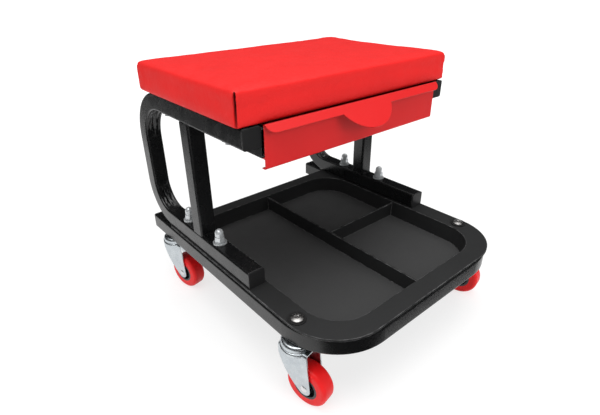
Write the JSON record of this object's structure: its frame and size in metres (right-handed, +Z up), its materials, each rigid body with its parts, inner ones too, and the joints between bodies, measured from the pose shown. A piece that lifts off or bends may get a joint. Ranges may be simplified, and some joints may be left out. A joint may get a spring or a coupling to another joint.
{
  "type": "creeper seat",
  "caption": "Low rolling workshop seat: padded red cushion over a pull-out drawer, on bent square-tube sides with a divided parts tray and swivel casters.",
  "frame": {"origin": "on the floor, under the middle of the stool's outer box", "axes": "+Z up, the drawer opens towards -Y, +X to the right of someone who looks along +Y at the drawer"},
  "size_m": [0.39, 0.448, 0.386],
  "materials": {
    "frame_paint": "satin textured powder coat",
    "cap_plastic": "matt",
    "tray_plastic": "matt, finely grained",
    "black_steel": "satin",
    "zinc": "bright zinc plating",
    "zinc_sheet": "pressed, blue zinc plating",
    "bright_steel": "polished",
    "plywood": "sanded",
    "foam": "open-cell foam",
    "vinyl": "smooth satin vinyl",
    "red_paint": "gloss powder coat",
    "hub_plastic": "satin",
    "red_tread": "smooth hard rubber"
  },
  "bodies": {
    "frame": {"base_frame": "frame_paint", "base_cap_left": "cap_plastic", "base_cap_right": "cap_plastic", "side_frame_left": "frame_paint", "side_frame_right": "frame_paint", "post_left": "frame_paint", "post_right": "frame_paint", "seat_rail_cap_left": "cap_plastic", "seat_rail_cap_right": "cap_plastic", "foot_rail_cap_left": "cap_plastic", "foot_rail_cap_right": "cap_plastic", "tray": "tray_plastic", "frame_bolts": "zinc", "frame_washers": "zinc", "spring_washers": "zinc", "cap_nuts": "zinc", "caster_bolts": "zinc", "tray_washers": "black_steel", "caster_nuts": "zinc", "caster_balls": "bright_steel", "caster_cup_front_left": "zinc_sheet", "caster_cup_front_right": "zinc_sheet", "caster_cup_rear_left": "zinc_sheet", "caster_cup_rear_right": "zinc_sheet", "seat_board": "plywood", "seat_foam": "foam", "seat_cover": "vinyl", "seat_bolts": "zinc", "seat_washers": "zinc", "tee_nuts": "zinc", "drawer_runner_left": "frame_paint", "drawer_runner_right": "frame_paint"},
    "drawer": {"drawer_front": "red_paint", "drawer_box": "red_paint", "drawer_slide_left": "zinc_sheet", "drawer_slide_right": "zinc_sheet"},
    "swivel_front_left": {"fork_front_left": "zinc_sheet", "axle_front_left": "bright_steel", "sleeve_front_left": "bright_steel"},
    "wheel_front_left": {"hub_front_left": "hub_plastic", "tyre_front_left": "red_tread"},
    "swivel_front_right": {"fork_front_right": "zinc_sheet", "axle_front_right": "bright_steel", "sleeve_front_right": "bright_steel"},
    "wheel_front_right": {"hub_front_right": "hub_plastic", "tyre_front_right": "red_tread"},
    "swivel_rear_left": {"fork_rear_left": "zinc_sheet", "axle_rear_left": "bright_steel", "sleeve_rear_left": "bright_steel"},
    "wheel_rear_left": {"hub_rear_left": "hub_plastic", "tyre_rear_left": "red_tread"},
    "swivel_rear_right": {"fork_rear_right": "zinc_sheet", "axle_rear_right": "bright_steel", "sleeve_rear_right": "bright_steel"},
    "wheel_rear_right": {"hub_rear_right": "hub_plastic", "tyre_rear_right": "red_tread"}
  },
  "joints": [
    {"name": "drawer_pull", "type": "slide", "parent": "frame", "child": "drawer", "axis": [0, -1, 0], "range_m": [0, 0.18]},
    {"name": "swivel_turn_front_left", "type": "hinge", "parent": "frame", "child": "swivel_front_left", "pos_m": [-0.1725, -0.148, 0.09], "axis": [0, 0, 1], "continuous": true},
    {"name": "wheel_spin_front_left", "type": "hinge", "parent": "swivel_front_left", "child": "wheel_front_left", "pos_m": [-0.16834, -0.16756, 0.03], "axis": [0.9781, 0.2079, 0], "continuous": true},
    {"name": "swivel_turn_front_right", "type": "hinge", "parent": "frame", "child": "swivel_front_right", "pos_m": [0.1725, -0.148, 0.09], "axis": [0, 0, 1], "continuous": true},
    {"name": "wheel_spin_front_right", "type": "hinge", "parent": "swivel_front_right", "child": "wheel_front_right", "pos_m": [0.17666, -0.16756, 0.03], "axis": [0.9781, 0.2079, 0], "continuous": true},
    {"name": "swivel_turn_rear_left", "type": "hinge", "parent": "frame", "child": "swivel_rear_left", "pos_m": [-0.1725, 0.174, 0.09], "axis": [0, 0, 1], "continuous": true},
    {"name": "wheel_spin_rear_left", "type": "hinge", "parent": "swivel_rear_left", "child": "wheel_rear_left", "pos_m": [-0.16834, 0.15444, 0.03], "axis": [0.9781, 0.2079, 0], "continuous": true},
    {"name": "swivel_turn_rear_right", "type": "hinge", "parent": "frame", "child": "swivel_rear_right", "pos_m": [0.1725, 0.174, 0.09], "axis": [0, 0, 1], "continuous": true},
    {"name": "wheel_spin_rear_right", "type": "hinge", "parent": "swivel_rear_right", "child": "wheel_rear_right", "pos_m": [0.17666, 0.15444, 0.03], "axis": [0.9781, 0.2079, 0], "continuous": true}
  ]
}
